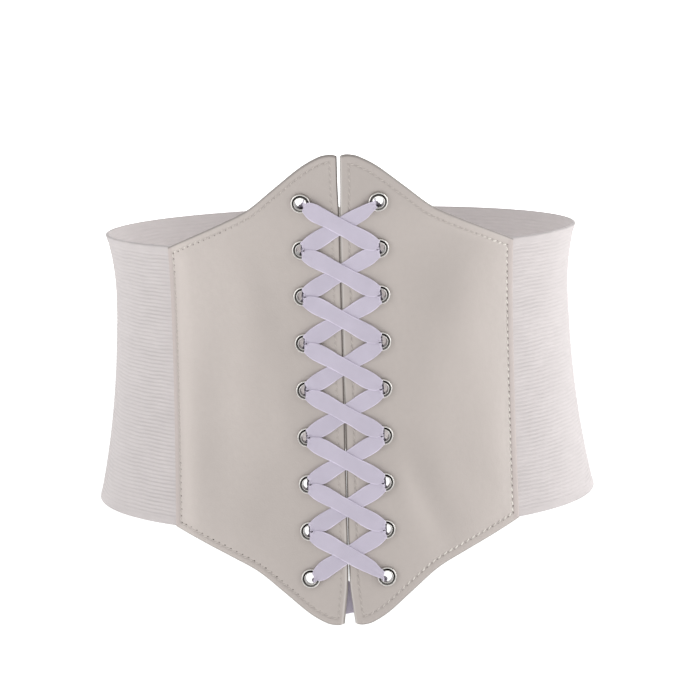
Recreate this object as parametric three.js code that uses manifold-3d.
// Lace-up corset belt: two shaped leather panels at the front, ribbed elastic round the sides,
// nine eyelets in each panel, two flat ribbons crossed over the slit, and a plain closure at the back.
// Millimetres, +Z up. The belt stands as it is worn, its front towards -Y. The origin is the middle
// of the waist at half the height of the elastic.
//
// A place on the belt is written as along, height and lift: along is the distance from the middle
// of the front, measured round the waist and positive towards +X, height is Z, and lift is the
// distance outwards from the surface that the belt is worn on.

import * as THREE from "three";
import { mergeVertices } from "three/addons/utils/BufferGeometryUtils.js";
import Module from "manifold-3d";

const wasm = await Module();
wasm.setup();

// The waist inside the belt
const waistHalfWidth = 111.8;
const waistHalfDepth = 85.5;
const waistLevel = 36.5; // height of the narrowest level
const flareAbove = 4.2; // gain in half width from the waist level to the elastic's top edge
const flareBelow = 12.4; // gain in half width from the waist level to the elastic's bottom edge
const frontFlareShare = 0.42; // share of that gain which the depth takes

// Elastic side bands and the closure at the back
const elasticHeight = 135;
const elasticThickness = 1.6;
const elasticLap = 10; // how far the elastic runs under the panel
const closureWidth = 24;
const closureThickness = 2;
const closureLap = 9; // how far the elastic runs under the closure

// Front panels
const panelWidth = 84.7; // from the middle of the slit to the side seam
const panelThickness = 2;
const panelRise = 44.9; // top point above the elastic's top edge
const panelDrop = 43.2; // bottom point below the elastic's bottom edge
const slitMouth = 5.2; // width of the slit between the bottom points

// Eyelets
const eyeletRows = 9;
const eyeletPitch = 22.3;
const eyeletColumn = 17.5; // from the middle of the slit
const eyeletMiddle = 0.8; // height of the middle row
const eyeletRadius = 4.65;
const eyeletBore = 2.6; // radius of the hole through the eyelet
const eyeletWall = 0.4;
const eyeletCrown = 1.1; // height of the front rim above the panel
const eyeletFoot = 3.8; // radius of the turned-over back
const eyeletFootThickness = 0.5;

// Laces
const laceWidth = 8.4;
const laceThickness = 0.7;
const boundWidth = 1.6; // where it is gathered to pass a hole
const boundThickness = 1;
const tailDrop = 15.2; // how far the tail hangs below the last row

// Clearances
const gap = 0.3;
const snug = 0.2;

// How fine the faceted solids are
const panelColumns = 13;
const panelRows = 14;
const closeToSlit = 1.35; // packs the panel's columns towards the slit, where its edge is rounder
const elasticColumns = 18;
const elasticRows = 8;
const closureColumns = 4;
const roundSides = 10;
const ellipseSteps = 720; // steps round half an ellipse when a distance along it is measured
const stepAngle = Math.PI / ellipseSteps;

// Top and bottom edge of a panel: along from the slit to the side seam, and how much of the
// rise or drop is left there
const panelEdge = [
  { along: 0, rise: 0.972 },
  { along: 0.02, rise: 0.994 },
  { along: 0.05, rise: 1 },
  { along: 0.1, rise: 0.978 },
  { along: 0.2, rise: 0.873 },
  { along: 0.35, rise: 0.648 },
  { along: 0.5, rise: 0.425 },
  { along: 0.65, rise: 0.282 },
  { along: 0.8, rise: 0.158 },
  { along: 1, rise: 0 },
];

// Width of the slit from the top point to the bottom point, as a share of its mouth
const slitShape = [
  { down: 0, width: 0.24 },
  { down: 0.12, width: 0.2 },
  { down: 0.31, width: 0.14 },
  { down: 0.51, width: 0.12 },
  { down: 0.7, width: 0.15 },
  { down: 0.8, width: 0.22 },
  { down: 0.88, width: 0.3 },
  { down: 0.95, width: 0.5 },
  { down: 1, width: 1 },
];

// How a lace passes a hole, from behind it to the front. Inward (towards the slit) and up are
// shares of the bore's radius, depth runs from 0 behind the eyelet to 1 above its rim, gather from
// 0 flat to 1 bound, and turn from 0 across the bar behind to 1 across the leg in front.
// The rising strand comes down behind from the row above and leaves to the row below.
const risingStrand = [
  { inward: 0, up: 2.9, depth: 0, gather: 0.1, turn: 0 },
  { inward: 0, up: 1.35, depth: 0, gather: 0.65, turn: 0 },
  { inward: 0, up: 0.72, depth: 0.03, gather: 0.9, turn: 0.05 },
  { inward: -0.05, up: 0.48, depth: 0.19, gather: 1, turn: 0.2 },
  { inward: -0.36, up: 0, depth: 0.5, gather: 1, turn: 0.8 },
  { inward: 0.05, up: -0.3, depth: 0.68, gather: 1, turn: 1 },
  { inward: 0.42, up: -0.39, depth: 0.86, gather: 1, turn: 1 },
];
// The sinking strand comes from the row above in front and goes on down behind.
const sinkingStrand = [
  { inward: 0, up: -2.9, depth: 0, gather: 0.1, turn: 0 },
  { inward: 0, up: -1.35, depth: 0, gather: 0.65, turn: 0 },
  { inward: 0.05, up: -0.72, depth: 0.03, gather: 0.9, turn: 0.05 },
  { inward: 0.2, up: -0.48, depth: 0.19, gather: 1, turn: 0.2 },
  { inward: 0.52, up: 0, depth: 0.5, gather: 1, turn: 0.8 },
  { inward: 0.5, up: 0.3, depth: 0.68, gather: 1, turn: 1 },
  { inward: 0.44, up: 0.39, depth: 0.86, gather: 1, turn: 1 },
];

// First half of a leg across the front: out is the distance from the hole in shares of the
// eyelet's radius, rim the share of the rim's height that it keeps above the panel
const legShape = [
  { out: 0.15, rim: 1, gather: 0.85 },
  { out: 0.42, rim: 1, gather: 0.58 },
  { out: 0.85, rim: 0.95, gather: 0.2 },
  { out: 1.3, rim: 0.6, gather: 0.03 },
  { out: 1.9, rim: 0.2, gather: 0 },
];

// How far from the middle of a crossing a leg is level, in widths of the lace
const crossingReach = 0.9;

// Tail behind the slit, from the last hole: inward in shares of the eyelet column, down in
// shares of the tail's drop
const tailShape = [
  { inward: 0.05, down: 0.09, depth: 0.01, gather: 0.95, lean: 1.2 },
  { inward: 0.2, down: 0.18, depth: 0, gather: 0.6, lean: 0.9 },
  { inward: 0.42, down: 0.33, depth: 0, gather: 0.2, lean: 0.65 },
  { inward: 0.7, down: 0.5, depth: 0, gather: 0.08, lean: 0.6 },
  { inward: 0.93, down: 0.7, depth: 0, gather: 0.04, lean: 0.75 },
  { inward: 1.08, down: 1, depth: 0, gather: 0.04, lean: 1.05 },
];
const hiddenTailReach = 0.42; // share of the way inwards that the other lace's tail goes
const tuckedDepth = 0.1; // a strand above this depth is in the hole
const endHeight = 1.6; // height of a lace's plain end above the last hole, in bore radii
const endGather = 0.5;

// Lifts of the layers, worked out from the thicknesses
const panelInside = elasticThickness + gap;
const panelOutside = panelInside + panelThickness;
const rimTop = panelOutside + gap + eyeletCrown;
const footTop = panelInside - gap;
const footBottom = footTop - eyeletFootThickness;
const barLift = footBottom - snug - boundThickness / 2;
const rimLift = rimTop + snug + boundThickness / 2;
const lowerLegLift = panelOutside + gap + laceThickness / 2;
const upperLegLift = lowerLegLift + laceThickness + snug;

const halfElastic = elasticHeight / 2;

// Reads one column of a table at a place between its rows, along a smooth curve
function readTable(table, key, column, place) {
  const last = table.length - 1;
  let i = table.findIndex((row) => row[key] >= place);
  i = Math.min(Math.max(i === -1 ? last : i, 1), last);
  const slope = (a, b) =>
    (table[b][column] - table[a][column]) / (table[b][key] - table[a][key]);
  const [from, to] = [table[i - 1], table[i]];
  const step = to[key] - from[key];
  const s = Math.min(Math.max((place - from[key]) / step, 0), 1);
  const startSlope = slope(Math.max(i - 2, 0), i) * step;
  const endSlope = slope(i - 1, Math.min(i + 1, last)) * step;
  return (
    (2 * s ** 3 - 3 * s ** 2 + 1) * from[column] +
    (s ** 3 - 2 * s ** 2 + s) * startSlope +
    (3 * s ** 2 - 2 * s ** 3) * to[column] +
    (s ** 3 - s ** 2) * endSlope
  );
}

// Half width and half depth of the waist at a height, and how fast the half width grows there
function waistSection(height) {
  const below = height < waistLevel;
  const reach = below ? -(waistLevel + halfElastic) : halfElastic - waistLevel;
  const flare = below ? flareBelow : flareAbove;
  const away = (height - waistLevel) / reach;
  return {
    halfWidth: waistHalfWidth + flare * away ** 2,
    halfDepth: waistHalfDepth + frontFlareShare * flare * away ** 2,
    growth: (2 * flare * away) / reach,
  };
}

// Length of one small step round half the ellipse of a section, from the middle of the front
function stepLength(section, step) {
  const angle = (step + 0.5) * stepAngle;
  const across = section.halfWidth * Math.cos(angle);
  return stepAngle * Math.hypot(across, section.halfDepth * Math.sin(angle));
}

// Angle round the ellipse at a distance along it
function angleAlong(along, section) {
  let left = Math.abs(along);
  let step = 0;
  while (step < ellipseSteps && left > stepLength(section, step)) {
    left -= stepLength(section, step);
    step += 1;
  }
  return Math.sign(along) * (step + left / stepLength(section, step)) * stepAngle;
}

// Distance round one side, from the middle of the front to the middle of the back
function halfGirth(height) {
  const section = waistSection(height);
  let length = 0;
  for (let step = 0; step < ellipseSteps; step++) {
    length += stepLength(section, step);
  }
  return length;
}

// The surface at a place: its point and its directions round, up and out
function surface(along, height) {
  const section = waistSection(height);
  const angle = angleAlong(along, section);
  const [sine, cosine] = [Math.sin(angle), Math.cos(angle)];
  const { halfWidth, halfDepth, growth } = section;
  const round = new THREE.Vector3(halfWidth * cosine, halfDepth * sine, 0).normalize();
  const slope = new THREE.Vector3(growth * sine, -frontFlareShare * growth * cosine, 1);
  const out = round.clone().cross(slope).normalize();
  return {
    point: new THREE.Vector3(halfWidth * sine, -halfDepth * cosine, height),
    round,
    up: out.clone().cross(round),
    out,
  };
}

function place(along, height, lift) {
  const { point, out } = surface(along, height);
  return point.addScaledVector(out, lift);
}

// A closed wall between two lifts over a grid of places; at(i, j) gives along and height, with i
// growing anticlockwise as seen from above and j growing upwards
function wallGeometry(columns, rows, inside, outside, at) {
  const positions = [];
  const index = [];
  const number = (side, i, j) => (side * (columns + 1) + i) * (rows + 1) + j;
  for (const lift of [inside, outside]) {
    for (let i = 0; i <= columns; i++) {
      for (let j = 0; j <= rows; j++) {
        const { along, height } = at(i, j);
        positions.push(...place(along, height, lift).toArray());
      }
    }
  }
  const quad = (a, b, c, d) => index.push(a, b, c, a, c, d);
  for (let i = 0; i < columns; i++) {
    for (let j = 0; j < rows; j++) {
      quad(number(1, i, j), number(1, i + 1, j), number(1, i + 1, j + 1), number(1, i, j + 1));
      quad(number(0, i, j), number(0, i, j + 1), number(0, i + 1, j + 1), number(0, i + 1, j));
    }
    quad(number(0, i, 0), number(0, i + 1, 0), number(1, i + 1, 0), number(1, i, 0));
    quad(number(1, i, rows), number(1, i + 1, rows), number(0, i + 1, rows), number(0, i, rows));
  }
  for (let j = 0; j < rows; j++) {
    quad(number(1, 0, j), number(1, 0, j + 1), number(0, 0, j + 1), number(0, 0, j));
    quad(number(0, columns, j), number(0, columns, j + 1), number(1, columns, j + 1),
      number(1, columns, j));
  }
  const geometry = new THREE.BufferGeometry();
  geometry.setAttribute("position", new THREE.Float32BufferAttribute(positions, 3));
  geometry.setIndex(index);
  geometry.computeVertexNormals();
  return geometry;
}

// Geometry to solid and back, for the holes
function toSolid(geometry) {
  const bare = geometry.clone();
  bare.deleteAttribute("normal");
  bare.deleteAttribute("uv");
  const merged = mergeVertices(bare, 1e-4);
  return new wasm.Manifold(new wasm.Mesh({
    numProp: 3,
    vertProperties: merged.attributes.position.array,
    triVerts: new Uint32Array(merged.index.array),
  }));
}

function toGeometry(solid) {
  const mesh = solid.getMesh();
  const geometry = new THREE.BufferGeometry();
  geometry.setAttribute("position", new THREE.Float32BufferAttribute(mesh.vertProperties, 3));
  geometry.setIndex([...mesh.triVerts]);
  geometry.computeVertexNormals();
  return geometry;
}

const rowHeight = (row) => eyeletMiddle + ((eyeletRows + 1) / 2 - row) * eyeletPitch;

// Half the slit's width at a height
function slitHalf(height) {
  const top = halfElastic + panelRise;
  const down = (top - height) / (elasticHeight + panelRise + panelDrop);
  return (slitMouth / 2) * readTable(slitShape, "down", "width", down);
}

// A place on a panel: across from 0 at the slit to 1 at the side seam, rise from 0 to 1
function panelPlace(side, across, rise) {
  const share = readTable(panelEdge, "along", "rise", across);
  const bottom = -halfElastic - panelDrop * share;
  const top = halfElastic + panelRise * share;
  const height = THREE.MathUtils.lerp(bottom, top, rise);
  const start = slitHalf(height);
  return { along: side * (start + across * (panelWidth - start)), height };
}

function panelGeometry(side) {
  const wall = wallGeometry(panelColumns, panelRows, panelInside, panelOutside, (i, j) => {
    const share = (side < 0 ? panelColumns - i : i) / panelColumns;
    return panelPlace(side, share ** closeToSlit, j / panelRows);
  });
  let solid = toSolid(wall);
  for (let row = 1; row <= eyeletRows; row++) {
    const depth = 2 * panelThickness + 2 * gap;
    const radius = eyeletBore + eyeletWall + gap;
    const cutter = new THREE.CylinderGeometry(radius, radius, depth, roundSides);
    cutter.applyMatrix4(eyeletMatrix(side, row, panelInside + panelThickness / 2));
    solid = solid.subtract(toSolid(cutter));
  }
  return toGeometry(solid);
}

// Stands a shape made round the Y axis on the panel at an eyelet's place
function eyeletMatrix(side, row, lift) {
  const { point, round, up, out } = surface(side * eyeletColumn, rowHeight(row));
  const matrix = new THREE.Matrix4().makeBasis(round, out, up.clone().negate());
  return matrix.setPosition(point.addScaledVector(out, lift));
}

// Section of an eyelet, radius and lift, closed on itself
function eyeletGeometry() {
  const barrel = eyeletBore + eyeletWall;
  const seat = panelOutside + gap;
  const section = [
    [eyeletBore, footBottom],
    [eyeletFoot, footBottom],
    [eyeletFoot, footTop],
    [barrel, footTop],
    [barrel, seat],
    [eyeletRadius, seat],
    [(2 * eyeletRadius + barrel) / 3, rimTop - 0.1 * eyeletCrown],
    [barrel, rimTop],
    [eyeletBore, rimTop - 0.35 * eyeletCrown],
    [eyeletBore, footBottom],
  ].map(([radius, lift]) => new THREE.Vector2(radius, lift));
  return new THREE.LatheGeometry(section, roundSides);
}

function elasticGeometry(side) {
  return wallGeometry(elasticColumns, elasticRows, 0, elasticThickness, (i, j) => {
    const share = (side < 0 ? elasticColumns - i : i) / elasticColumns;
    const height = (j / elasticRows - 0.5) * elasticHeight;
    const start = panelWidth - elasticLap;
    const end = halfGirth(height) - closureWidth / 2 + closureLap;
    return { along: side * THREE.MathUtils.lerp(start, end, share), height };
  });
}

function closureGeometry() {
  return wallGeometry(closureColumns, elasticRows, elasticThickness + gap,
    elasticThickness + gap + closureThickness, (i, j) => {
      const height = (j / elasticRows - 0.5) * elasticHeight;
      const fromMiddle = (i / closureColumns - 0.5) * closureWidth;
      const half = halfGirth(height);
      const along = fromMiddle <= 0 ? half + fromMiddle : -half + fromMiddle;
      return { along, height };
    });
}

// One cross-section of a lace: where it is, the direction of its width, and how gathered it is
function laceStation(side, row, inward, up, lift, gather, turn, legSide) {
  const along = side * (eyeletColumn - inward);
  const { point, round, up: rise, out } = surface(along, rowHeight(row) + up);
  const swing = turn * (Math.PI / 2 - Math.atan2(legDrop, legReach));
  const across = round.clone().multiplyScalar(Math.cos(swing))
    .addScaledVector(rise, -legSide * Math.sin(swing));
  return {
    centre: point.addScaledVector(out, lift),
    across,
    width: THREE.MathUtils.lerp(laceWidth, boundWidth, gather),
    thickness: THREE.MathUtils.lerp(laceThickness, boundThickness, gather),
  };
}

// The legs run straight between the points where they leave and enter the bores
const lastRising = risingStrand[risingStrand.length - 1];
const lastSinking = sinkingStrand[sinkingStrand.length - 1];
const legReach = 2 * eyeletColumn - (lastRising.inward + lastSinking.inward) * eyeletBore;
const legDrop = eyeletPitch + (lastRising.up - lastSinking.up) * eyeletBore;

// A strand's way through one hole, from behind to the front. barBelow turns the bar behind round
function holePass(table, side, row, legSide, barBelow = false) {
  return table.map(({ inward, up, depth, gather, turn }) => {
    const flip = barBelow && up > 0 ? -1 : 1;
    return laceStation(side, row, inward * eyeletBore, flip * up * eyeletBore,
      THREE.MathUtils.lerp(barLift, rimLift, depth), gather, turn, legSide);
  });
}

// The leg from a hole on one side to the next row's hole on the other, over or under its partner
function frontLeg(side, row) {
  const length = Math.hypot(legReach, legDrop);
  const crossing = side < 0 ? upperLegLift : lowerLegLift;
  const overlap = crossingReach * laceWidth;
  const rows = [
    ...legShape.map(({ out, rim, gather }) => ({ at: out * eyeletRadius, rim, gather })),
    { at: length / 2 - overlap, rim: 0, gather: 0 },
    { at: length / 2, rim: 0, gather: 0 },
    { at: length / 2 + overlap, rim: 0, gather: 0 },
    ...legShape.map(({ out, rim, gather }) => ({ at: length - out * eyeletRadius, rim, gather }))
      .reverse(),
  ];
  return rows.map(({ at, rim, gather }) => {
    const share = at / length;
    const inward = lastRising.inward * eyeletBore + legReach * share;
    const up = lastRising.up * eyeletBore - legDrop * share;
    const lift = THREE.MathUtils.lerp(crossing, rimLift, rim);
    return laceStation(side, row, inward, up, lift, gather, 1, side);
  });
}

// Half of a lace: down the belt from its first hole, crossing the front at every other row
function laceBranch(side, firstRow) {
  const stations = [];
  let row = firstRow;
  let at = side;
  while (row < eyeletRows) {
    stations.push(...holePass(risingStrand, at, row, at, row === 1));
    stations.push(...frontLeg(at, row));
    stations.push(...holePass(sinkingStrand, -at, row + 1, at).reverse());
    at = -at;
    row += 2;
  }
  return { stations, side: at, row };
}

// The end that shows behind the slit turns inwards and hangs down from the last hole
function laceTail(side, reach) {
  return tailShape.map(({ inward, down, depth, gather, lean }) => {
    const along = side * eyeletColumn * (1 - inward * reach);
    const height = rowHeight(eyeletRows) - down * tailDrop;
    const { point, round, up, out } = surface(along, height);
    return {
      centre: point.addScaledVector(out, THREE.MathUtils.lerp(barLift, rimLift, depth)),
      across: round.clone().multiplyScalar(Math.sin(lean))
        .addScaledVector(up, -side * Math.cos(lean)),
      width: THREE.MathUtils.lerp(laceWidth, boundWidth, gather),
      thickness: THREE.MathUtils.lerp(laceThickness, boundThickness, gather),
    };
  });
}

// A whole lace. Its middle is the bar behind the first two holes of one side. One end stops above
// the last hole, behind it; the other comes through that hole and turns into the tail.
function laceStations(side, tailReach) {
  const first = laceBranch(side, 1);
  const second = laceBranch(side, 2);
  const barStations = sinkingStrand.filter(({ depth }) => depth < tuckedDepth).length;
  const throughLast = second.stations.slice(0, -barStations);
  const end = laceStation(first.side, eyeletRows, 0, endHeight * eyeletBore, barLift,
    endGather, 0, side);
  return [end, ...first.stations.reverse(), ...throughLast, ...laceTail(second.side, tailReach)];
}

// Lofts a flat band through its cross-sections and closes both ends
function bandGeometry(stations) {
  const positions = [];
  const index = [];
  stations.forEach(({ centre, across, width, thickness }, i) => {
    const before = stations[Math.max(i - 1, 0)].centre;
    const after = stations[Math.min(i + 1, stations.length - 1)].centre;
    const way = after.clone().sub(before).normalize();
    const side = across.clone().addScaledVector(way, -across.dot(way)).normalize();
    const face = way.clone().cross(side);
    for (const [s, f] of [[-1, -1], [1, -1], [1, 1], [-1, 1]]) {
      positions.push(...centre.clone().addScaledVector(side, (s * width) / 2)
        .addScaledVector(face, (f * thickness) / 2).toArray());
    }
  });
  const quad = (a, b, c, d) => index.push(a, b, c, a, c, d);
  for (let i = 0; i < stations.length - 1; i++) {
    for (let k = 0; k < 4; k++) {
      const next = (k + 1) % 4;
      quad(4 * i + k, 4 * i + next, 4 * i + 4 + next, 4 * i + 4 + k);
    }
  }
  const end = 4 * (stations.length - 1);
  quad(3, 2, 1, 0);
  quad(end, end + 1, end + 2, end + 3);
  const geometry = new THREE.BufferGeometry();
  geometry.setAttribute("position", new THREE.Float32BufferAttribute(positions, 3));
  geometry.setIndex(index);
  geometry.computeVertexNormals();
  return geometry;
}

const leather = new THREE.MeshStandardMaterial({ color: 0xc8bfb8, roughness: 0.55, metalness: 0 });
const webbing = new THREE.MeshStandardMaterial({ color: 0xdad4d3, roughness: 0.9, metalness: 0 });
const ribbon = new THREE.MeshStandardMaterial({ color: 0xc8c2d4, roughness: 0.7, metalness: 0 });
const nickel = new THREE.MeshStandardMaterial({ color: 0xd8d8d8, roughness: 0.2, metalness: 1 });

const belt = new THREE.Group();

function addMesh(name, geometry, material) {
  const mesh = new THREE.Mesh(geometry, material);
  mesh.name = name;
  belt.add(mesh);
  return mesh;
}

for (const [side, word] of [[-1, "left"], [1, "right"]]) {
  addMesh("front_panel_" + word, panelGeometry(side), leather);
  addMesh("elastic_" + word, elasticGeometry(side), webbing);
  for (let row = 1; row <= eyeletRows; row++) {
    const eyelet = addMesh("eyelet_" + word + "_" + row, eyeletGeometry(), nickel);
    eyeletMatrix(side, row, 0).decompose(eyelet.position, eyelet.quaternion, eyelet.scale);
  }
}
addMesh("back_closure", closureGeometry(), leather);
addMesh("lace_1", bandGeometry(laceStations(-1, 1)), ribbon);
addMesh("lace_2", bandGeometry(laceStations(1, hiddenTailReach)), ribbon);

export default belt;
